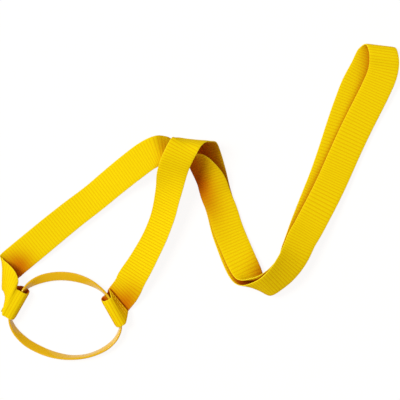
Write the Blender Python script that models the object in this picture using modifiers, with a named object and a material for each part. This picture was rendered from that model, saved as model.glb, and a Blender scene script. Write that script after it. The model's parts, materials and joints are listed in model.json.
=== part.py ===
"""Neck strap with a cup-holding ring: one long webbing strap, laid down in soft folds, with each end
sewn into an eye round a slim flexible band ring.

Metres, +Z up. The strap lies on the plane z = 0. The soft ring lies beside it as an oval, its band
standing up inside the eyes and leaning over between them, and slides a little way through both eyes.
"""

import math

import bmesh
import bpy
from mathutils import Matrix, Vector

MM = 0.001

# Webbing: a flat woven tape.
STRAP_WIDTH = 20.0 * MM
STRAP_THICKNESS = 1.2 * MM
STRAP_STEP = 2.5 * MM        # spacing of the cross lines along the open runs
EYE_STEP = 1.1 * MM          # and along the tight bends of the eyes
STRIPS_ACROSS = 2            # faces across the width, so that twisted runs stay smooth

# Ring: a thin soft band with rounded edges, closed on itself.
BAND_WIDTH = 6.2 * MM
BAND_THICKNESS = 1.5 * MM
BAND_CORNER = 0.45 * MM
RING_SEGMENTS = 120
RING_PIVOT = Vector((-89.0, -79.0, 4.6)) * MM    # centre of its small turn in the eyes

# Middle line of the band in millimetres, and the roll of its width in degrees, from lying flat, 0, to
# standing, 90. Its outer border is the higher one.
RING_ROUTE = [
    (-52.9, -83.6, 5.1, 82),
    (-56.9, -72.1, 5.2, 86),
    (-63.6, -61.7, 5.1, 80),
    (-72.3, -55.5, 4.8, 62),
    (-83.9, -51.5, 4.3, 50),
    (-95, -50.7, 4.1, 45),
    (-105, -52.4, 4.4, 50),
    (-112.3, -55.6, 4.9, 64),
    (-117.4, -59.9, 5.1, 82),
    (-122.5, -68.2, 5.2, 88),
    (-126.5, -77.3, 5.1, 82),
    (-124.3, -85.3, 4.6, 58),
    (-116.9, -93.7, 3.4, 36),
    (-107.7, -99.3, 2.7, 36),
    (-97.2, -103.2, 3, 50),
    (-85.3, -104.9, 3.4, 68),
    (-73, -103.3, 3.6, 72),
    (-61.7, -98, 4, 68),
    (-55.3, -91.3, 4.6, 74),
]

# Eyes: the webbing's closed loops that the band runs through. A heading is that of the weft.
EYE_BORE_WIDTH = 6.2 * MM
EYE_BORE_HEIGHT = 8.0 * MM
RIGHT_EYE_CENTRE = Vector((-57.5, -73.2, 5.2)) * MM
RIGHT_EYE_HEADING = math.radians(-60.6)
LEFT_EYE_CENTRE = Vector((-122.0, -68.2, 5.2)) * MM
LEFT_EYE_HEADING = math.radians(-119.7)
TAB_REACH = 2.3 * MM         # how far the sewn end runs past the eye's wall
TAB_SHIFT = 4.1 * MM         # how far the right sewn end is pulled aside, and by what angle
TAB_TURN = math.radians(11.0)
SECTION_GAP = 0.3 * MM       # between neighbouring lengths of the strap

# Strap route in millimetres and degrees: x, y, z of the centre line, then the heading and the lean of
# the weft, the line across the tape. The outer layer runs from the right eye to the end of the loop.
OUTER_ROUTE = [
    (-45.5, -52.5, 6.8, -36, 16),
    (-40, -43.5, 7.4, -34, 26),
    (-34.5, -33.5, 7.6, -30, 33),
    (-29.5, -23.5, 8, -26, 36),
    (-24.5, -10, 10, -20, 36),
    (-21.5, 3.5, 15, -31, 24),
    (-18.5, 18, 25, -22, 0),
    (-14.5, 28.5, 32.5, -17, 0),
    (-10, 36.5, 33.5, -12, 4),
    (-6, 39.5, 27, -8, 12),
    (-2.5, 39, 17.5, -2, 12),
    (1.5, 36.5, 8.5, 4, 8),
    (4.5, 28.5, 3.6, 11, 3),
    (7.5, 18, 1.4, 17, 0),
    (10.5, 5.5, 0.6, 21, 0),
    (14.5, -8, 0.6, 23, 0),
    (17.5, -20, 0.6, 23, 0),
    (21, -30, 0.6, 17, 0),
    (24.5, -39, 1, 8, 0),
    (28.5, -47, 3.2, -4, -2),
    (33, -53.5, 6.6, -14, -10),
    (37, -58, 10.8, -24, -22),
    (41.5, -58.5, 14.5, -38, -36),
    (46.5, -56.5, 17, -49, -45),
    (53.5, -50.5, 17.2, -48, -34),
    (58.5, -44, 15.7, -43, -24),
    (63.5, -35.5, 12.8, -35, -14),
    (68.5, -24.5, 11, -31, -6),
    (74.5, -14.5, 8.6, -30, 0),
    (86.5, 8.5, 5.3, -28, 0),
    (93, 23.5, 4, -27, 0),
    (105, 50, 3.3, -25, 0),
    (116, 70.5, 4.8, -22, 0),
    (122, 86.5, 8.2, -16, 0),
]

# The inner layer runs back from the end of the loop to the left eye.
INNER_ROUTE = [
    (109.5, 86.5, 0.9, -19, 0),
    (102.5, 73.5, 0.6, -22, 0),
    (97, 58, 0.6, -24, 0),
    (90.5, 38, 0.6, -26, 0),
    (83.5, 16, 0.7, -27, 0),
    (78, 3.5, 1.8, -28, 0),
    (71.5, -12.5, 4.2, -30, 0),
    (67.5, -24, 6.4, -32, -6),
    (63, -34.5, 8.4, -36, -14),
    (58.5, -42, 10, -43, -24),
    (52.5, -47, 12.3, -48, -34),
    (46.5, -51, 12.9, -47, -39),
    (41, -52.5, 13.6, -36, -25),
    (36.5, -50.5, 11.5, -22, -11.5),
    (33, -48, 7.7, -10, -2),
    (27.5, -39.5, 4, 3, 0),
    (22.5, -28.5, 2.4, 18, 0),
    (18.5, -18.5, 2.2, 22, 0),
    (15, -7.5, 2.2, 23, 0),
    (10.5, 3.5, 3.2, 24, 2),
    (7.5, 12.5, 5.7, 21, 18),
    (3.5, 19.5, 8.8, 20, 31),
    (-0.5, 25, 12, 12, 40),
    (-5.5, 29.5, 14.6, -6, 45),
    (-12.5, 32, 17.2, -38, 43),
    (-21, 33.5, 20, -68, 24),
    (-27.5, 33, 21.3, -64, 6),
    (-35, 29.5, 18, -60, 2),
    (-46, 21.5, 11.5, -56, 6),
    (-58.5, 11.5, 6, -54.5, 13),
    (-70.5, 1.5, 3.9, -54.5, 17),
    (-85.5, -10, 4.2, -54.5, 14),
    (-98.5, -20.5, 4.8, -54.5, 8),
    (-110, -30, 4.4, -54.5, 3),
    (-118.5, -37, 2.8, -54.5, 0),
    (-124.5, -42, 1.5, -57, 0),
]

# Next to each eye and over the loop's end the soft tape is askew, so its wefts stay as written there.
RIGHT_NECK = [
    (-54.7, -68.7, 1.5, -53, 0),
    (-52.3, -64.3, 3.2, -48, 2),
    (-48.7, -59, 5.2, -44, 4),
]

LOOP_TOP = [
    (122.3, 96.3, 11.5, -9, 0),
    (120.3, 102.3, 8.2, -7, 0),
    (116.3, 100, 3.4, -9, 0),
]

LEFT_FLAP = [
    (-131.4, -49, 3.9, -90, -6),
    (-129, -52, 7, -100, -18),
    (-126, -56.3, 9.6, -113, -22),
    (-124.9, -60.7, 10.4, -121, -14),
    (-125.7, -66.1, 9.8, -119.7, 0),
]

# Lengths of the strap, each from its first route point to the next length's first.
SECTIONS = [
    ("right_eye", "eye", 0),
    ("right_strand", "outer", 1),
    ("outer_arch", "outer", 9),
    ("outer_middle_run", "outer", 16),
    ("outer_corner", "outer", 22),
    ("outer_long_run", "outer", 31),
    ("loop_end", "outer", 36),
    ("inner_long_run", "inner", 1),
    ("inner_corner", "inner", 7),
    ("inner_middle_run", "inner", 15),
    ("inner_arch", "inner", 19),
    ("left_strand", "inner", 28),
    ("left_fold", "inner", 33),
    ("left_eye", "left", 1),
]


def clear_scene():
    """Remove whatever the file held before."""
    for item in list(bpy.data.objects):
        bpy.data.objects.remove(item, do_unlink=True)


def make_material(name, colour, roughness):
    """A plain Principled material."""
    material = bpy.data.materials.new(name)
    material.use_nodes = True
    shader = material.node_tree.nodes["Principled BSDF"]
    shader.inputs["Base Color"].default_value = (*colour, 1.0)
    shader.inputs["Roughness"].default_value = roughness
    return material


def band_section():
    """Corner points of the band's section: x across its thickness, y across its width."""
    half_t = BAND_THICKNESS / 2
    half_w = BAND_WIDTH / 2
    cut = BAND_CORNER
    quarter = [(half_t, half_w - cut), (half_t - cut, half_w)]
    points = quarter + [(-x, y) for x, y in reversed(quarter)]
    return points + [(-x, -y) for x, y in points]


def ring_stations():
    """Stations of the ring: centre, and the direction across the band."""
    stations = []
    for index, (x, y, z, roll) in enumerate(RING_ROUTE):
        before = Vector(RING_ROUTE[index - 1][:2])
        after = Vector(RING_ROUTE[(index + 1) % len(RING_ROUTE)][:2])
        forward = (after - before).normalized()
        lift = math.radians(roll)
        across = Vector((forward.y, -forward.x, 0.0)) * math.cos(lift)
        stations.append((Vector((x, y, z)) * MM, across + Vector((0.0, 0.0, math.sin(lift))), 0.0))
    return stations


def make_ring(collection, material):
    """The band, swept round its middle line while it rolls."""
    stations = ring_stations()
    samples, _ = smooth_line(stations + stations[:1], closed=True)
    samples = square_wefts(samples, closed=True)
    mesh = bmesh.new()
    rows = []
    for step in range(RING_SEGMENTS):
        distance = samples[-1][0] * step / RING_SEGMENTS
        centre, across = station_at(samples, distance)
        ahead = station_at(samples, distance + samples[1][0] / 2)[0]
        through = across.cross(ahead - centre).normalized()
        rows.append([mesh.verts.new(centre + through * x + across * y) for x, y in band_section()])
    for step, row in enumerate(rows):
        after = rows[(step + 1) % RING_SEGMENTS]
        for side in range(len(row)):
            nextside = (side + 1) % len(row)
            mesh.faces.new((row[side], after[side], after[nextside], row[nextside]))
    bmesh.ops.recalc_face_normals(mesh, faces=mesh.faces)
    data = bpy.data.meshes.new("ring")
    mesh.to_mesh(data)
    mesh.free()
    data.shade_smooth()
    data.set_sharp_from_angle(angle=math.radians(50))
    ring = bpy.data.objects.new("ring", data)
    data.materials.append(material)
    collection.objects.link(ring)
    return ring


def eye_profile():
    """An eye's outline from the sewn end round to the strap: distance out, rise, share of the shift."""
    out = (EYE_BORE_WIDTH + STRAP_THICKNESS) / 2
    rise = (EYE_BORE_HEIGHT + STRAP_THICKNESS) / 2
    points = [(out + TAB_REACH, -0.16 * rise, 1.0), (out + 0.45 * TAB_REACH, 0.2 * rise, 0.6)]
    points.append((0.98 * out, 0.53 * rise, 0.25))
    for degrees in (50, 80, 110, 140, 170, 200, 230, 260):
        turn = math.radians(degrees)
        across = math.copysign(abs(math.cos(turn)) ** 0.8, math.cos(turn))
        along = math.copysign(abs(math.sin(turn)) ** 0.8, math.sin(turn))
        points.append((out * across, rise * along, 0.0))
    return points + [(0.7 * out, -0.97 * rise, 0.2)]


def eye_stations(centre, heading, side, shift, turn):
    """Stations of one eye, from the sewn end to the strap. side is +1 where the sewn end is on top."""
    weft = Vector((math.cos(heading), math.sin(heading), 0.0))
    away = Vector((-weft.y, weft.x, 0.0)) * side
    stations = []
    for out, rise, share in eye_profile():
        spot = centre + away * out - weft * shift * share + Vector((0.0, 0.0, side * rise))
        stations.append((spot, Matrix.Rotation(turn * share, 3, "Z") @ weft, 1.0))
    return stations


def route_stations(route, kept=0.0):
    """Stations of a written route: centre, weft and how far the weft is kept from being squared."""
    stations = []
    for x, y, z, heading, lean in route:
        turn, slope = math.radians(heading), math.radians(lean)
        weft = Vector((math.cos(turn) * math.cos(slope), math.sin(turn) * math.cos(slope), math.sin(slope)))
        stations.append((Vector((x, y, z)) * MM, weft, kept))
    return stations


def catmull_rom(before, first, second, after, knots, at):
    """Point on a non-uniform Catmull-Rom span between first and second."""
    a, b, c, d = knots
    one = before.lerp(first, (at - a) / (b - a))
    two = first.lerp(second, (at - b) / (c - b))
    three = second.lerp(after, (at - c) / (d - c))
    left = one.lerp(two, (at - a) / (c - a))
    right = two.lerp(three, (at - b) / (d - b))
    return left.lerp(right, (at - b) / (c - b))


def smooth_line(stations, closed=False):
    """Fine samples through the stations: distance, centre, weft and how far the weft is kept. Also
    each station's distance.
    """
    centres = [station[0] for station in stations]
    wefts = [station[1] for station in stations]
    kept = [station[2] for station in stations]
    if closed:
        centres = [centres[-2]] + centres + [centres[1]]
        wefts = [wefts[-2]] + wefts + [wefts[1]]
    else:
        centres = [2 * centres[0] - centres[1]] + centres + [2 * centres[-1] - centres[-2]]
        wefts = [wefts[0]] + wefts + [wefts[-1]]
    knots = [0.0]
    for here, there in zip(centres, centres[1:]):
        knots.append(knots[-1] + (there - here).length ** 0.5)
    samples = []
    marks = []
    distance = 0.0
    pieces = 12
    for span in range(1, len(centres) - 2):
        window = knots[span - 1:span + 3]
        for piece in range(pieces):
            share = piece / pieces
            at = window[1] + (window[2] - window[1]) * share
            centre = catmull_rom(*centres[span - 1:span + 3], window, at)
            weft = catmull_rom(*wefts[span - 1:span + 3], window, at)
            if samples:
                distance += (centre - samples[-1][1]).length
            if piece == 0:
                marks.append(distance)
            samples.append((distance, centre, weft, kept[span - 1] * (1 - share) + kept[span] * share))
    distance += (centres[-2] - samples[-1][1]).length
    samples.append((distance, centres[-2], wefts[-2], kept[-1]))
    marks.append(distance)
    return samples, marks


def square_wefts(samples, closed=False):
    """Turn each weft square to the line, so that the tape keeps its width, unless it is kept."""
    squared = []
    last = len(samples) - 1
    for index, (distance, centre, weft, kept) in enumerate(samples):
        before = samples[index - 1 if index else (last - 1 if closed else 0)][1]
        after = samples[index + 1 if index < last else (1 if closed else last)][1]
        forward = (after - before).normalized()
        slant = forward * weft.dot(forward) * (1.0 - kept)
        squared.append((distance, centre, (weft - slant).normalized()))
    return squared


def station_at(samples, distance):
    """Centre and weft at a distance along the strap."""
    low, high = 0, len(samples) - 1
    while high - low > 1:
        middle = (low + high) // 2
        if samples[middle][0] <= distance:
            low = middle
        else:
            high = middle
    start, end = samples[low], samples[high]
    share = (distance - start[0]) / (end[0] - start[0])
    return start[1].lerp(end[1], share), start[2].lerp(end[2], share).normalized()


def make_length(name, samples, start, end, step, collection, material):
    """One length of the strap: an open strip with Solidify."""
    count = max(2, math.ceil((end - start) / step))
    mesh = bmesh.new()
    rows = []
    for index in range(count + 1):
        centre, weft = station_at(samples, start + (end - start) * index / count)
        row = []
        for column in range(STRIPS_ACROSS + 1):
            offset = STRAP_WIDTH * (column / STRIPS_ACROSS - 0.5)
            row.append(mesh.verts.new(centre + weft * offset))
        rows.append(row)
    for here, there in zip(rows, rows[1:]):
        for column in range(STRIPS_ACROSS):
            mesh.faces.new((here[column], there[column], there[column + 1], here[column + 1]))
    data = bpy.data.meshes.new(name)
    mesh.to_mesh(data)
    mesh.free()
    data.shade_smooth()
    data.materials.append(material)
    length = bpy.data.objects.new(name, data)
    solidify = length.modifiers.new("thickness", "SOLIDIFY")
    solidify.thickness = STRAP_THICKNESS
    solidify.offset = 0.0
    collection.objects.link(length)
    return length


def make_strap(collection, material):
    """The whole strap, as neighbouring lengths cut square across the tape."""
    right_eye = eye_stations(RIGHT_EYE_CENTRE, RIGHT_EYE_HEADING, 1, TAB_SHIFT, TAB_TURN)
    left_eye = eye_stations(LEFT_EYE_CENTRE, LEFT_EYE_HEADING, -1, 0.0, 0.0)
    outer = route_stations(RIGHT_NECK, kept=1.0) + route_stations(OUTER_ROUTE)
    outer += route_stations(LOOP_TOP, kept=1.0)
    inner = route_stations(INNER_ROUTE) + route_stations(LEFT_FLAP, kept=1.0)
    stations = right_eye + outer + inner + left_eye[::-1]
    samples, marks = smooth_line(stations)
    samples = square_wefts(samples)
    before_inner = len(right_eye) + len(outer)
    before_left = before_inner + len(inner)
    first = {"eye": 0, "outer": len(right_eye), "inner": before_inner, "left": before_left}
    cuts = [marks[first[part] + index] for _, part, index in SECTIONS] + [marks[-1]]
    for number, (name, _, _) in enumerate(SECTIONS):
        start = cuts[number] + (SECTION_GAP / 2 if number else 0.0)
        end = cuts[number + 1] - (SECTION_GAP / 2 if number + 1 < len(SECTIONS) else 0.0)
        step = EYE_STEP if name.endswith("_eye") else STRAP_STEP
        make_length(name, samples, start, end, step, collection, material)
    return marks[-1]


def settle(collection):
    """Move every node so that the origin is the bottom centre of the whole object's box."""
    bpy.context.view_layer.update()
    graph = bpy.context.evaluated_depsgraph_get()
    points = []
    for node in collection.objects:
        solid = node.evaluated_get(graph)
        points += [solid.matrix_world @ vertex.co for vertex in solid.data.vertices]
    low = Vector(min(point[axis] for point in points) for axis in range(3))
    high = Vector(max(point[axis] for point in points) for axis in range(3))
    origin = Vector(((low.x + high.x) / 2, (low.y + high.y) / 2, low.z))
    for node in collection.objects:
        node.matrix_world = Matrix.Translation(-origin) @ node.matrix_world
    return origin


def main():
    clear_scene()
    collection = bpy.data.collections.new("cup_holder_neck_strap")
    bpy.context.scene.collection.children.link(collection)
    webbing = make_material("yellow_webbing", (0.84, 0.60, 0.004), 0.85)
    band = make_material("yellow_band", (0.76, 0.50, 0.02), 0.35)
    length = make_strap(collection, webbing)
    make_ring(collection, band)
    origin = settle(collection)
    print("strap length, m:", round(length, 4))
    print("ring's pivot, m:", [round(value, 5) for value in RING_PIVOT - origin])


main()
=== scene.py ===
"""Neck strap with a cup-holding ring, as it looks: one ribbed webbing strap laid in soft folds, sewn
into an eye at each end round a glossy band ring, on a white table under a soft lamp high on the left.
"""

import json
import math

import bpy
from mathutils import Matrix, Vector

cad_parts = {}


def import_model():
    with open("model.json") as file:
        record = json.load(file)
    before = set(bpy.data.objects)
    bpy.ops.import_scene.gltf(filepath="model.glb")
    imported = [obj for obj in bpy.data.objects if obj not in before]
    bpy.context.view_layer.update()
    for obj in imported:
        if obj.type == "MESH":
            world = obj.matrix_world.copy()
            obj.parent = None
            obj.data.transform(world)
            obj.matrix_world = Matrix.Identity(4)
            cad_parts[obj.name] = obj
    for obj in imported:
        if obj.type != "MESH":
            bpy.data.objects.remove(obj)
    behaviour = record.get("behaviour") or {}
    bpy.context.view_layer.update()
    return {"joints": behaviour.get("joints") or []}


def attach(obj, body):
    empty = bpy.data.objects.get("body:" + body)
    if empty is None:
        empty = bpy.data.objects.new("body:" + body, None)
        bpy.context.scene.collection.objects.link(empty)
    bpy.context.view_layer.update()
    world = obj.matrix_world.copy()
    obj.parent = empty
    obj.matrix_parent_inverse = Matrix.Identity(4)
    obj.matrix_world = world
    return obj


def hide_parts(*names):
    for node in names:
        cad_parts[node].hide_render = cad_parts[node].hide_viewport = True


MM = 0.001

# Webbing: a flat woven tape.
STRAP_WIDTH = 20.0 * MM
STRAP_THICKNESS = 1.2 * MM

# Ring: a thin soft band with rounded edges, closed on itself.
BAND_WIDTH = 6.2 * MM
BAND_THICKNESS = 1.5 * MM
RING_PIVOT = Vector((-89.0, -79.0, 4.6)) * MM    # centre of its small turn in the eyes

# Middle line of the band in millimetres, and the roll of its width in degrees, from lying flat, 0, to
# standing, 90. Its outer border is the higher one.
RING_ROUTE = [
    (-52.9, -83.6, 5.1, 82),
    (-56.9, -72.1, 5.2, 86),
    (-63.6, -61.7, 5.1, 80),
    (-72.3, -55.5, 4.8, 62),
    (-83.9, -51.5, 4.3, 50),
    (-95, -50.7, 4.1, 45),
    (-105, -52.4, 4.4, 50),
    (-112.3, -55.6, 4.9, 64),
    (-117.4, -59.9, 5.1, 82),
    (-122.5, -68.2, 5.2, 88),
    (-126.5, -77.3, 5.1, 82),
    (-124.3, -85.3, 4.6, 58),
    (-116.9, -93.7, 3.4, 36),
    (-107.7, -99.3, 2.7, 36),
    (-97.2, -103.2, 3, 50),
    (-85.3, -104.9, 3.4, 68),
    (-73, -103.3, 3.6, 72),
    (-61.7, -98, 4, 68),
    (-55.3, -91.3, 4.6, 74),
]

# Eyes: the webbing's closed loops that the band runs through. A heading is that of the weft.
EYE_BORE_WIDTH = 6.2 * MM
EYE_BORE_HEIGHT = 8.0 * MM
RIGHT_EYE_CENTRE = Vector((-57.5, -73.2, 5.2)) * MM
RIGHT_EYE_HEADING = math.radians(-60.6)
LEFT_EYE_CENTRE = Vector((-122.0, -68.2, 5.2)) * MM
LEFT_EYE_HEADING = math.radians(-119.7)
TAB_REACH = 2.3 * MM         # how far the sewn end runs past the eye's wall
TAB_SHIFT = 4.1 * MM         # how far the right sewn end is pulled aside, and by what angle
TAB_TURN = math.radians(11.0)
EYE_ROUNDNESS = 0.8          # power of its outline: 1 is an ellipse, less is squarer

# Strap route in millimetres and degrees: x, y, z of the centre line, then the heading and the lean of
# the weft, the line across the tape. The outer layer runs from the right eye to the end of the loop.
OUTER_ROUTE = [
    (-45.5, -52.5, 6.8, -36, 16),
    (-40, -43.5, 7.4, -34, 26),
    (-34.5, -33.5, 7.6, -30, 33),
    (-29.5, -23.5, 8, -26, 36),
    (-24.5, -10, 10, -20, 36),
    (-21.5, 3.5, 15, -31, 24),
    (-18.5, 18, 25, -22, 0),
    (-14.5, 28.5, 32.5, -17, 0),
    (-10, 36.5, 33.5, -12, 4),
    (-6, 39.5, 27, -8, 12),
    (-2.5, 39, 17.5, -2, 12),
    (1.5, 36.5, 8.5, 4, 8),
    (4.5, 28.5, 3.6, 11, 3),
    (7.5, 18, 1.4, 17, 0),
    (10.5, 5.5, 0.6, 21, 0),
    (14.5, -8, 0.6, 23, 0),
    (17.5, -20, 0.6, 23, 0),
    (21, -30, 0.6, 17, 0),
    (24.5, -39, 1, 8, 0),
    (28.5, -47, 3.2, -4, -2),
    (33, -53.5, 6.6, -14, -10),
    (37, -58, 10.8, -24, -22),
    (41.5, -58.5, 14.5, -38, -36),
    (46.5, -56.5, 17, -49, -45),
    (53.5, -50.5, 17.2, -48, -34),
    (58.5, -44, 15.7, -43, -24),
    (63.5, -35.5, 12.8, -35, -14),
    (68.5, -24.5, 11, -31, -6),
    (74.5, -14.5, 8.6, -30, 0),
    (86.5, 8.5, 5.3, -28, 0),
    (93, 23.5, 4, -27, 0),
    (105, 50, 3.3, -25, 0),
    (116, 70.5, 4.8, -22, 0),
    (122, 86.5, 8.2, -16, 0),
]

# The inner layer runs back from the end of the loop to the left eye.
INNER_ROUTE = [
    (109.5, 86.5, 0.9, -19, 0),
    (102.5, 73.5, 0.6, -22, 0),
    (97, 58, 0.6, -24, 0),
    (90.5, 38, 0.6, -26, 0),
    (83.5, 16, 0.7, -27, 0),
    (78, 3.5, 1.8, -28, 0),
    (71.5, -12.5, 4.2, -30, 0),
    (67.5, -24, 6.4, -32, -6),
    (63, -34.5, 8.4, -36, -14),
    (58.5, -42, 10, -43, -24),
    (52.5, -47, 12.3, -48, -34),
    (46.5, -51, 12.9, -47, -39),
    (41, -52.5, 13.6, -36, -25),
    (36.5, -50.5, 11.5, -22, -11.5),
    (33, -48, 7.7, -10, -2),
    (27.5, -39.5, 4, 3, 0),
    (22.5, -28.5, 2.4, 18, 0),
    (18.5, -18.5, 2.2, 22, 0),
    (15, -7.5, 2.2, 23, 0),
    (10.5, 3.5, 3.2, 24, 2),
    (7.5, 12.5, 5.7, 21, 18),
    (3.5, 19.5, 8.8, 20, 31),
    (-0.5, 25, 12, 12, 40),
    (-5.5, 29.5, 14.6, -6, 45),
    (-12.5, 32, 17.2, -38, 43),
    (-21, 33.5, 20, -68, 24),
    (-27.5, 33, 21.3, -64, 6),
    (-35, 29.5, 18, -60, 2),
    (-46, 21.5, 11.5, -56, 6),
    (-58.5, 11.5, 6, -54.5, 13),
    (-70.5, 1.5, 3.9, -54.5, 17),
    (-85.5, -10, 4.2, -54.5, 14),
    (-98.5, -20.5, 4.8, -54.5, 8),
    (-110, -30, 4.4, -54.5, 3),
    (-118.5, -37, 2.8, -54.5, 0),
    (-124.5, -42, 1.5, -57, 0),
]

# Next to each eye and over the loop's end the soft tape is askew, so its wefts stay as written there.
RIGHT_NECK = [
    (-54.7, -68.7, 1.5, -53, 0),
    (-52.3, -64.3, 3.2, -48, 2),
    (-48.7, -59, 5.2, -44, 4),
]

LOOP_TOP = [
    (122.3, 96.3, 11.5, -9, 0),
    (120.3, 102.3, 8.2, -7, 0),
    (116.3, 100, 3.4, -9, 0),
]

LEFT_FLAP = [
    (-131.4, -49, 3.9, -90, -6),
    (-129, -52, 7, -100, -18),
    (-126, -56.3, 9.6, -113, -22),
    (-124.9, -60.7, 10.4, -121, -14),
    (-125.7, -66.1, 9.8, -119.7, 0),
]

# The strap's lengths in the frame, all of which the one uncut webbing replaces.
STRAP_NODES = (
    "right_eye", "right_strand", "outer_arch", "outer_middle_run", "outer_corner", "outer_long_run",
    "loop_end", "inner_long_run", "inner_corner", "inner_middle_run", "inner_arch", "left_strand",
    "left_fold", "left_eye",
)

SPAN_PIECES = 12             # samples to each stretch between two stations of a route

# Webbing's surface: cords across the tape, with a firm woven border along each edge.
RIB_PITCH = 2.0 * MM
FACING_REACH = 0.6 * MM      # each way along the tape, for the direction that it runs in
RIB_ROWS = 6                 # mesh rows to each rib
RIB_DEPTH = 0.15 * MM        # on each face
COLUMNS = 14                 # strips across each face
BORDER_HALF_THICKNESS = 0.4 * MM
BORDER_INSET = 1.2 * MM      # over which the border thickens to the full tape
BORDER_WAVE = 0.08 * MM      # how far each rib's end stands out of the border
# Rib colours: painted shade in the valleys between ribs, plain yellow on the crests.
VALLEY_SHADE_COLOUR = (0.74, 0.43, 0.001)
CREST_COLOUR = (0.87, 0.72, 0.002)
# Painted highlight: each border is coloured lighter, as if lit along its edge.
BORDER_HIGHLIGHT_COLOUR = (0.93, 0.82, 0.02)
RIB_SHARE = 0.8              # of the colour ramp: ribs below it, borders above
CREST_START = 0.85           # share of a rib's height where its crest's colour begins
NOOK_SHADE_COLOUR = (0.56, 0.11, 0.0005)    # painted shade deep in a fold, for the yellow light thrown back and forth there
NOOK_REACH = 26.0 * MM
NOOK_OPEN = (0.3, 0.92)      # share of open sky that gives the full nook colour, and the plain one
# Deeper colour beside the folds, painted shade, to match the photo: along, across as a share of half
# the width, how far along it spreads, strength.
PAINTED_SHADE_PATCHES = (
    (2.0 * MM, 0.3, 5.0 * MM, 0.35),
    (32.0 * MM, 0.6, 13.0 * MM, 0.8),
    (743.0 * MM, -0.8, 24.0 * MM, 0.9),
    (765.0 * MM, -0.4, 14.0 * MM, 0.4),
    (914.0 * MM, 0.5, 10.0 * MM, 0.8),
)
THREAD_COLOUR = (0.86, 0.62, 0.01)

# Each eye leans along the ring, so that its mouth shows.
LEAN = 0.4                   # shift along the ring for each unit of height
LEAN_LEVEL = 4.5 * MM        # height that doesn't shift
LEAN_REACH = 26.0 * MM       # along the tape from its end
LEAN_FADE = 16.0 * MM

# Where the tape runs on as smoothly as cloth does, round the two corners and along the two long runs:
# from, to along the tape, over what length it evens out, and how much of the way its middle moves.
SMOOTH_REACHES = (
    (262.0 * MM, 326.0 * MM, 4.5 * MM, 0.5),
    (332.0 * MM, 455.0 * MM, 12.0 * MM, 1.0),
    (505.0 * MM, 630.0 * MM, 12.0 * MM, 1.0),
    (630.0 * MM, 692.0 * MM, 4.5 * MM, 0.5),
)
# The tape settles against itself there: middle, reach along the tape, how far.
SETTLED = (
    (284.0 * MM, 26.0 * MM, (-0.4 * MM, -1.2 * MM, 0.0)),
    (652.0 * MM, 22.0 * MM, (1.0 * MM, -2.2 * MM, 2.4 * MM)),
    (303.0 * MM, 20.0 * MM, (-0.4 * MM, 0.2 * MM, 0.0)),
    (672.0 * MM, 22.0 * MM, (0.9 * MM, -3.8 * MM, 1.6 * MM)),
)

# Sewing at each eye: two rows of stitches across the sewn end.
STITCH_LENGTH = 2.0 * MM
STITCH_GAP = 0.7 * MM
STITCH_RADIUS = 0.2 * MM
STITCH_ROWS = (1.1 * MM, 2.9 * MM)   # from the tape's end
STITCH_MARGIN = 1.5 * MM
STITCH_STEPS = 6
STITCH_SIDES = 8
STITCH_SINK = 0.7            # share of its radius by which a stitch's ends dip into the webbing

# Band's surface.
BAND_STEPS = 288
BAND_TWIST = 24.0            # degrees: it lies flatter between the eyes, on the side of the folds
BAND_TWIST_MIDDLE = 0.29     # shares of the way round
BAND_TWIST_REACH = 0.135
BAND_TWIST_FADE = 0.08
BAND_COLOUR = (0.80, 0.53, 0.004)

# Picture: the camera looks straight down from far away.
PICTURE_WIDTH = 0.2667
CAMERA_HEIGHT = 4.0
SENSOR_WIDTH = 36.0
KEY_WATTS = 258.0
KEY_SIZE = 2.1
KEY_PLACE = (-3.0, 0.8, 5.1)
SKY_LEVEL = 0.43
SKY_COLOUR = (1.0, 0.66, 0.36)
FLOOR_WHITE = 0.92
FLOOR_GLOW = 0.88            # share of the floor's own glow where the camera sees it
FLOOR_SIZE = 6.0
FLOOR_DROP = 0.05 * MM       # below the strap, so that the two faces don't flicker


def ring_stations():
    """Stations of the ring: centre, and the direction across the band."""
    stations = []
    for index, (x, y, z, roll) in enumerate(RING_ROUTE):
        before = Vector(RING_ROUTE[index - 1][:2])
        after = Vector(RING_ROUTE[(index + 1) % len(RING_ROUTE)][:2])
        forward = (after - before).normalized()
        lift = math.radians(roll)
        across = Vector((forward.y, -forward.x, 0.0)) * math.cos(lift)
        stations.append((Vector((x, y, z)) * MM, across + Vector((0.0, 0.0, math.sin(lift))), 0.0))
    return stations


def eye_profile():
    """An eye's outline from the sewn end round to the strap: distance out, rise, share of the shift."""
    out = (EYE_BORE_WIDTH + STRAP_THICKNESS) / 2
    rise = (EYE_BORE_HEIGHT + STRAP_THICKNESS) / 2
    points = [(out + TAB_REACH, -0.16 * rise, 1.0), (out + 0.45 * TAB_REACH, 0.2 * rise, 0.6)]
    points.append((0.98 * out, 0.53 * rise, 0.25))
    for degrees in (50, 80, 110, 140, 170, 200, 230, 260):
        turn = math.radians(degrees)
        across = math.copysign(abs(math.cos(turn)) ** EYE_ROUNDNESS, math.cos(turn))
        along = math.copysign(abs(math.sin(turn)) ** EYE_ROUNDNESS, math.sin(turn))
        points.append((out * across, rise * along, 0.0))
    return points + [(0.7 * out, -0.97 * rise, 0.2)]


def eye_stations(centre, heading, side, shift, turn):
    """Stations of one eye, from the sewn end to the strap. side is +1 where the sewn end is on top."""
    weft = Vector((math.cos(heading), math.sin(heading), 0.0))
    away = Vector((-weft.y, weft.x, 0.0)) * side
    stations = []
    for out, rise, share in eye_profile():
        spot = centre + away * out - weft * shift * share + Vector((0.0, 0.0, side * rise))
        stations.append((spot, Matrix.Rotation(turn * share, 3, "Z") @ weft, 1.0))
    return stations


def route_stations(route, kept=0.0):
    """Stations of a written route: centre, weft and how far the weft is kept from being squared."""
    stations = []
    for x, y, z, heading, lean in route:
        turn, slope = math.radians(heading), math.radians(lean)
        weft = Vector((math.cos(turn) * math.cos(slope), math.sin(turn) * math.cos(slope), math.sin(slope)))
        stations.append((Vector((x, y, z)) * MM, weft, kept))
    return stations


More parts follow.
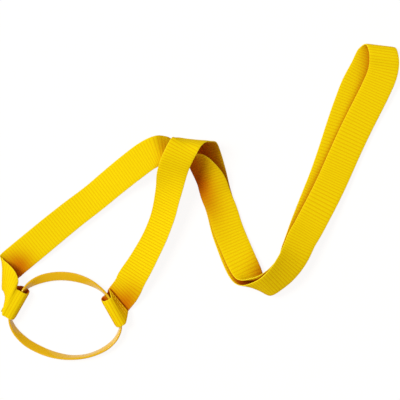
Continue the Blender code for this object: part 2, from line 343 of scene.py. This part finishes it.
def catmull_rom(before, first, second, after, knots, at):
    """Point on a non-uniform Catmull-Rom span between first and second."""
    a, b, c, d = knots
    one = before.lerp(first, (at - a) / (b - a))
    two = first.lerp(second, (at - b) / (c - b))
    three = second.lerp(after, (at - c) / (d - c))
    left = one.lerp(two, (at - a) / (c - a))
    right = two.lerp(three, (at - b) / (d - b))
    return left.lerp(right, (at - b) / (c - b))


def smooth_line(stations, closed=False):
    """Fine samples through the stations: distance, centre, weft and how far the weft is kept."""
    centres = [station[0] for station in stations]
    wefts = [station[1] for station in stations]
    kept = [station[2] for station in stations]
    if closed:
        centres = [centres[-2]] + centres + [centres[1]]
        wefts = [wefts[-2]] + wefts + [wefts[1]]
    else:
        centres = [2 * centres[0] - centres[1]] + centres + [2 * centres[-1] - centres[-2]]
        wefts = [wefts[0]] + wefts + [wefts[-1]]
    knots = [0.0]
    for here, there in zip(centres, centres[1:]):
        knots.append(knots[-1] + (there - here).length ** 0.5)
    samples = []
    distance = 0.0
    for span in range(1, len(centres) - 2):
        window = knots[span - 1:span + 3]
        for piece in range(SPAN_PIECES):
            share = piece / SPAN_PIECES
            at = window[1] + (window[2] - window[1]) * share
            centre = catmull_rom(*centres[span - 1:span + 3], window, at)
            weft = catmull_rom(*wefts[span - 1:span + 3], window, at)
            if samples:
                distance += (centre - samples[-1][1]).length
            samples.append((distance, centre, weft, kept[span - 1] * (1 - share) + kept[span] * share))
    distance += (centres[-2] - samples[-1][1]).length
    samples.append((distance, centres[-2], wefts[-2], kept[-1]))
    return samples


def square_wefts(samples, closed=False):
    """Turn each weft square to the line, so that the tape keeps its width, unless it is kept."""
    squared = []
    last = len(samples) - 1
    for index, (distance, centre, weft, kept) in enumerate(samples):
        before = samples[index - 1 if index else (last - 1 if closed else 0)][1]
        after = samples[index + 1 if index < last else (1 if closed else last)][1]
        forward = (after - before).normalized()
        slant = forward * weft.dot(forward) * (1.0 - kept)
        squared.append((distance, centre, (weft - slant).normalized()))
    return squared


def station_at(samples, distance):
    """Centre and weft at a distance along the strap."""
    low, high = 0, len(samples) - 1
    while high - low > 1:
        middle = (low + high) // 2
        if samples[middle][0] <= distance:
            low = middle
        else:
            high = middle
    start, end = samples[low], samples[high]
    share = (distance - start[0]) / (end[0] - start[0])
    return start[1].lerp(end[1], share), start[2].lerp(end[2], share).normalized()


def strap_samples():
    """The whole strap's line, from the right eye's sewn end round to the left eye's."""
    right_eye = eye_stations(RIGHT_EYE_CENTRE, RIGHT_EYE_HEADING, 1, TAB_SHIFT, TAB_TURN)
    left_eye = eye_stations(LEFT_EYE_CENTRE, LEFT_EYE_HEADING, -1, 0.0, 0.0)
    outer = route_stations(RIGHT_NECK, kept=1.0) + route_stations(OUTER_ROUTE)
    outer += route_stations(LOOP_TOP, kept=1.0)
    inner = route_stations(INNER_ROUTE) + route_stations(LEFT_FLAP, kept=1.0)
    stations = right_eye + outer + inner + left_eye[::-1]
    return square_wefts(smooth_line(stations))


def rib_height(distance):
    """Share of a rib's height at a distance along the tape: round crests between narrow valleys."""
    across = 2.0 * (distance / RIB_PITCH % 1.0) - 1.0
    return math.sqrt(max(0.0, 1.0 - across * across))


def tape_section(height):
    """One closed outline of the tape: distance across, distance out of its face, share of a rib."""
    half = STRAP_WIDTH / 2 - BORDER_HALF_THICKNESS + BORDER_WAVE * (height - 1.0)
    face = STRAP_THICKNESS / 2 - RIB_DEPTH * (1.0 - height)
    upper = []
    for column in range(COLUMNS + 1):
        across = half * (2.0 * column / COLUMNS - 1.0)
        inset = min(1.0, (half - abs(across)) / BORDER_INSET)
        out = BORDER_HALF_THICKNESS + (face - BORDER_HALF_THICKNESS) * math.sin(inset * math.pi / 2)
        upper.append((across, out, height))
    points = list(upper)
    for degrees in (60, 30, 0, -30, -60):
        turn = math.radians(degrees)
        across = half + BORDER_HALF_THICKNESS * math.cos(turn)
        points.append((across, BORDER_HALF_THICKNESS * math.sin(turn), 1.0 / RIB_SHARE))
    points += [(across, -out, share) for across, out, share in reversed(upper)]
    for degrees in (-120, -150, 180, 150, 120):
        turn = math.radians(degrees)
        across = -half + BORDER_HALF_THICKNESS * math.cos(turn)
        points.append((across, BORDER_HALF_THICKNESS * math.sin(turn), 1.0 / RIB_SHARE))
    return points


def lean_eyes(samples):
    """The strap's line with both eyes leaning along the ring."""
    leaning = []
    for distance, centre, weft in samples:
        reach = min(distance, samples[-1][0] - distance)
        share = max(0.0, min(1.0, 1.0 - (reach - LEAN_REACH) / LEAN_FADE))
        share = share * share * (3.0 - 2.0 * share)
        leaning.append((distance, centre + weft * (share * LEAN * (centre.z - LEAN_LEVEL)), weft))
    return leaning


def soften_turns(samples):
    """The strap's line with each corner's turn spread along the tape, and settled against itself."""
    softened = []
    for distance, centre, weft in samples:
        for start, end, spread, pull in SMOOTH_REACHES:
            inside = min(distance - start, end - distance)
            share = max(0.0, min(1.0, inside / (2.0 * spread)))
            if share == 0.0:
                continue
            total, middle, turned = 0.0, Vector((0.0, 0.0, 0.0)), Vector((0.0, 0.0, 0.0))
            for other, place, direction in samples:
                if abs(other - distance) < 3.0 * spread:
                    weight = math.exp(-0.5 * ((other - distance) / spread) ** 2)
                    total += weight
                    middle += place * weight
                    turned += direction * weight
            centre = centre.lerp(middle / total, share * pull)
            weft = weft.lerp(turned / total, share).normalized()
        for along, reach, move in SETTLED:
            if abs(distance - along) < reach:
                centre = centre + Vector(move) * math.cos(math.pi / 2 * (distance - along) / reach) ** 2
        softened.append((distance, centre, weft))
    return softened


def unshaded_share(distance, across):
    """How far the webbing keeps its plain colour at a point, free of painted shade: 1 away from the
    patches.
    """
    unshaded = 1.0
    for along, side, reach, strength in PAINTED_SHADE_PATCHES:
        far = ((distance - along) / reach) ** 2 + (2.0 * across / STRAP_WIDTH - side) ** 2
        unshaded *= 1.0 - strength * math.exp(-far)
    return unshaded


def tape_frame(samples, distance):
    """Centre, weft and outward face direction at a distance along the tape."""
    centre, weft = station_at(samples, distance)
    ahead = station_at(samples, min(distance + FACING_REACH, samples[-1][0]))[0]
    behind = station_at(samples, max(distance - FACING_REACH, 0.0))[0]
    forward = (ahead - behind).normalized()
    return centre, weft, weft.cross(forward).normalized()


def make_mesh(name, points, faces, material, body):
    """A smooth mesh object that rides on a body."""
    data = bpy.data.meshes.new(name)
    data.from_pydata(points, [], faces)
    data.validate()
    data.shade_smooth()
    data.materials.append(material)
    piece = bpy.data.objects.new(name, data)
    bpy.context.scene.collection.objects.link(piece)
    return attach(piece, body)


def make_webbing(samples, shift, material):
    """The whole strap in one piece, with every rib."""
    length = samples[-1][0]
    rows = round(length / RIB_PITCH * RIB_ROWS)
    points, shares, unshaded, spots, faces = [], [], [], [], []
    for row in range(rows + 1):
        distance = length * row / rows
        centre, weft, face = tape_frame(samples, distance)
        outline = tape_section(rib_height(distance))
        for across, out, share in outline:
            points.append(centre + weft * across + face * out + shift)
            shares.append(share * RIB_SHARE)
            # Share of the plain colour left by the painted shade patches.
            unshaded.append(unshaded_share(distance, across))
            spots.append((distance / RIB_PITCH, across / RIB_PITCH))
    ring = len(outline)
    for row in range(rows):
        for side in range(ring):
            after = (side + 1) % ring
            here, there = row * ring, (row + 1) * ring
            faces.append((here + side, there + side, there + after, here + after))
    faces.append(tuple(range(ring)))
    faces.append(tuple(rows * ring + side for side in reversed(range(ring))))
    webbing = make_mesh("webbing", points, faces, material, "strap")
    data = webbing.data
    for name, values in (("rib", shares), ("unshaded", unshaded)):
        layer = data.attributes.new(name, "FLOAT", "POINT")
        layer.data.foreach_set("value", values)
    weave = data.uv_layers.new(name="weave")
    weave.data.foreach_set("uv", [value for loop in data.loops for value in spots[loop.vertex_index]])
    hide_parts(*STRAP_NODES)
    return webbing


def make_stitches(samples, shift, material):
    """Two rows of thread across each sewn end, each stitch a low arch that dips into the webbing."""
    pitch = STITCH_LENGTH + STITCH_GAP
    count = math.floor((STRAP_WIDTH - 2.0 * STITCH_MARGIN + STITCH_GAP) / pitch)
    points, faces = [], []
    for along in STITCH_ROWS:
        for distance, upward in ((along, 1.0), (samples[-1][0] - along, -1.0)):
            centre, weft, face = tape_frame(samples, distance)
            out = face if face.z * upward > 0.0 else -face
            warp = weft.cross(out)
            for stitch in range(count):
                start = (stitch - count / 2) * pitch + STITCH_GAP / 2
                first = len(points)
                for step in range(STITCH_STEPS + 1):
                    arch = math.sin(math.pi * step / STITCH_STEPS)
                    place = centre + weft * (start + STITCH_LENGTH * step / STITCH_STEPS)
                    place += out * (STRAP_THICKNESS / 2 + STITCH_RADIUS * (arch - STITCH_SINK)) + shift
                    thick = STITCH_RADIUS * (0.5 + 0.5 * arch)
                    for side in range(STITCH_SIDES):
                        turn = 2.0 * math.pi * side / STITCH_SIDES
                        points.append(place + (warp * math.cos(turn) + out * math.sin(turn)) * thick)
                for step in range(STITCH_STEPS):
                    here = first + step * STITCH_SIDES
                    there = here + STITCH_SIDES
                    for side in range(STITCH_SIDES):
                        after = (side + 1) % STITCH_SIDES
                        faces.append((here + side, there + side, there + after, here + after))
                last = first + STITCH_STEPS * STITCH_SIDES
                faces.append(tuple(first + side for side in range(STITCH_SIDES)))
                faces.append(tuple(last + side for side in reversed(range(STITCH_SIDES))))
    return make_mesh("stitches", points, faces, material, "strap")


def round_section():
    """Outline of the band with round borders: distance through it, distance across it."""
    half, border = BAND_THICKNESS / 2, BAND_THICKNESS / 2
    reach = BAND_WIDTH / 2 - border
    points = []
    for degrees in range(0, 181, 20):
        turn = math.radians(degrees)
        points.append((half * math.cos(turn), reach + border * math.sin(turn)))
    return points + [(-x, -y) for x, y in points]


def make_band(shift, material):
    """The ring: a smooth band with round borders."""
    stations = ring_stations()
    samples = square_wefts(smooth_line(stations + stations[:1], closed=True), closed=True)
    outline = round_section()
    points, faces = [], []
    for step in range(BAND_STEPS):
        distance = samples[-1][0] * step / BAND_STEPS
        centre, across = station_at(samples, distance)
        ahead = station_at(samples, distance + samples[1][0] / 2)[0]
        through = across.cross(ahead - centre).normalized()
        away = abs(step / BAND_STEPS - BAND_TWIST_MIDDLE)
        share = max(0.0, min(1.0, (BAND_TWIST_REACH - away) / BAND_TWIST_FADE))
        twist = Matrix.Rotation(math.radians(BAND_TWIST * share), 3, ahead - centre)
        across, through = twist @ across, twist @ through
        points += [centre + through * x + across * y + shift for x, y in outline]
    ring = len(outline)
    for step in range(BAND_STEPS):
        here, there = step * ring, (step + 1) % BAND_STEPS * ring
        for side in range(ring):
            after = (side + 1) % ring
            faces.append((here + side, there + side, there + after, here + after))
    band = make_mesh("band", points, faces, material, "ring")
    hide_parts("ring")


def webbing_material():
    """Yellow by rib height, with painted shade in valleys, folds and patches, painted highlight on borders,
    and threads along the tape.
    """
    material = bpy.data.materials.new("ribbed_yellow_webbing")
    material.use_nodes = True
    nodes, links = material.node_tree.nodes, material.node_tree.links
    shader = nodes["Principled BSDF"]
    shader.inputs["Roughness"].default_value = 0.8
    shader.inputs["Specular IOR Level"].default_value = 0.03
    rib = nodes.new("ShaderNodeAttribute")
    rib.attribute_name = "rib"
    ramp = nodes.new("ShaderNodeValToRGB")
    ramp.color_ramp.elements[0].color = (*VALLEY_SHADE_COLOUR, 1.0)
    ramp.color_ramp.elements[0].position = 0.0
    # Painted highlight on the borders at the top of the ramp, painted shade in the valleys at its foot.
    ramp.color_ramp.elements[1].color = (*BORDER_HIGHLIGHT_COLOUR, 1.0)
    for position in (CREST_START * RIB_SHARE, RIB_SHARE):
        ramp.color_ramp.elements.new(position).color = (*CREST_COLOUR, 1.0)
    links.new(rib.outputs["Fac"], ramp.inputs["Fac"])
    # Painted shade: the colour turns to the nook colour where ambient occlusion finds a fold.
    nook = nodes.new("ShaderNodeAmbientOcclusion")
    nook.samples = 12
    nook.inputs["Distance"].default_value = NOOK_REACH
    depth = nodes.new("ShaderNodeMapRange")
    depth.inputs["From Min"].default_value = NOOK_OPEN[0]
    depth.inputs["From Max"].default_value = NOOK_OPEN[1]
    deepen = nodes.new("ShaderNodeMix")
    deepen.data_type = "RGBA"
    deepen.inputs["A"].default_value = (*NOOK_SHADE_COLOUR, 1.0)
    links.new(nook.outputs["AO"], depth.inputs["Value"])
    # Painted shade patches push the colour further toward the nook colour.
    plain = nodes.new("ShaderNodeAttribute")
    plain.attribute_name = "unshaded"
    keep = nodes.new("ShaderNodeMath")
    keep.operation = "MULTIPLY"
    links.new(depth.outputs["Result"], keep.inputs[0])
    links.new(plain.outputs["Fac"], keep.inputs[1])
    links.new(keep.outputs["Value"], deepen.inputs["Factor"])
    links.new(ramp.outputs["Color"], deepen.inputs["B"])
    links.new(deepen.outputs["Result"], shader.inputs["Base Color"])
    place = nodes.new("ShaderNodeUVMap")
    place.uv_map = "weave"
    threads = nodes.new("ShaderNodeTexWave")
    threads.bands_direction = "Y"
    threads.inputs["Scale"].default_value = 1.3
    threads.inputs["Distortion"].default_value = 0.6
    threads.inputs["Detail"].default_value = 1.0
    bump = nodes.new("ShaderNodeBump")
    bump.inputs["Strength"].default_value = 0.25
    bump.inputs["Distance"].default_value = 0.00008
    links.new(place.outputs["UV"], threads.inputs["Vector"])
    links.new(threads.outputs["Fac"], bump.inputs["Height"])
    links.new(bump.outputs["Normal"], shader.inputs["Normal"])
    return material


def plain_material(name, colour, roughness, coat=0.0):
    """One even colour, for the band and the thread."""
    material = bpy.data.materials.new(name)
    material.use_nodes = True
    shader = material.node_tree.nodes["Principled BSDF"]
    shader.inputs["Base Color"].default_value = (*colour, 1.0)
    shader.inputs["Roughness"].default_value = roughness
    shader.inputs["Specular IOR Level"].default_value = 0.3
    shader.inputs["Coat Weight"].default_value = coat
    shader.inputs["Coat Roughness"].default_value = 0.12
    return material


def make_floor():
    """A white table top that glows where the camera sees it, and keeps a soft shadow."""
    bpy.ops.mesh.primitive_plane_add(size=FLOOR_SIZE, location=(0.0, 0.0, -FLOOR_DROP))
    floor = bpy.context.object
    floor.name = "floor"
    material = bpy.data.materials.new("white_table")
    material.use_nodes = True
    nodes, links = material.node_tree.nodes, material.node_tree.links
    matt = nodes["Principled BSDF"]
    matt.inputs["Base Color"].default_value = (FLOOR_WHITE, FLOOR_WHITE, FLOOR_WHITE, 1.0)
    matt.inputs["Roughness"].default_value = 0.9
    matt.inputs["Specular IOR Level"].default_value = 0.1
    glow = nodes.new("ShaderNodeEmission")
    glow.inputs["Strength"].default_value = 1.04
    path = nodes.new("ShaderNodeLightPath")
    share = nodes.new("ShaderNodeMath")
    share.operation = "MULTIPLY"
    share.inputs[1].default_value = FLOOR_GLOW
    mix = nodes.new("ShaderNodeMixShader")
    seen = nodes.new("ShaderNodeMath")
    seen.operation = "MAXIMUM"
    links.new(path.outputs["Is Camera Ray"], seen.inputs[0])
    links.new(path.outputs["Is Glossy Ray"], seen.inputs[1])
    links.new(seen.outputs["Value"], share.inputs[0])
    links.new(share.outputs["Value"], mix.inputs["Fac"])
    links.new(matt.outputs["BSDF"], mix.inputs[1])
    links.new(glow.outputs["Emission"], mix.inputs[2])
    links.new(mix.outputs["Shader"], nodes["Material Output"].inputs["Surface"])
    floor.data.materials.append(material)


def make_light():
    """Warm sky all round, white where the camera sees it, and a wide soft lamp high up on the left."""
    world = bpy.data.worlds.new("studio")
    bpy.context.scene.world = world
    world.use_nodes = True
    nodes, links = world.node_tree.nodes, world.node_tree.links
    sky = nodes["Background"]
    sky.inputs["Color"].default_value = (*SKY_COLOUR, 1.0)
    sky.inputs["Strength"].default_value = SKY_LEVEL
    white = nodes.new("ShaderNodeBackground")
    white.inputs["Color"].default_value = (1.0, 1.0, 1.0, 1.0)
    white.inputs["Strength"].default_value = 1.0
    path = nodes.new("ShaderNodeLightPath")
    mix = nodes.new("ShaderNodeMixShader")
    links.new(path.outputs["Is Camera Ray"], mix.inputs["Fac"])
    links.new(sky.outputs["Background"], mix.inputs[1])
    links.new(white.outputs["Background"], mix.inputs[2])
    links.new(mix.outputs["Shader"], nodes["World Output"].inputs["Surface"])
    lamp = bpy.data.lights.new("key", "AREA")
    lamp.energy = KEY_WATTS
    lamp.size = KEY_SIZE
    key = bpy.data.objects.new("key", lamp)
    key.location = KEY_PLACE
    key.rotation_euler = (-Vector(KEY_PLACE)).to_track_quat("-Z", "Y").to_euler()
    bpy.context.scene.collection.objects.link(key)


def make_camera(shift):
    """Straight above the table, with a long lens."""
    lens = bpy.data.cameras.new("camera")
    lens.sensor_width = SENSOR_WIDTH
    lens.lens = SENSOR_WIDTH * CAMERA_HEIGHT / PICTURE_WIDTH
    lens.clip_end = 20.0
    camera = bpy.data.objects.new("camera", lens)
    camera.location = (shift.x, shift.y, CAMERA_HEIGHT)
    bpy.context.scene.collection.objects.link(camera)
    bpy.context.scene.camera = camera


def main():
    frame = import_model()
    shift = Vector(frame["joints"][0]["pos_m"]) - RING_PIVOT
    samples = strap_samples()
    shown = soften_turns(lean_eyes(samples))
    webbing = make_webbing(shown, shift, webbing_material())
    stitches = make_stitches(shown, shift, plain_material("yellow_thread", THREAD_COLOUR, 0.6))
    make_band(shift, plain_material("glossy_yellow_band", BAND_COLOUR, 0.3, coat=0.3))
    make_floor()
    make_light()
    make_camera(shift)
    bpy.context.scene.view_settings.view_transform = "Standard"


main()
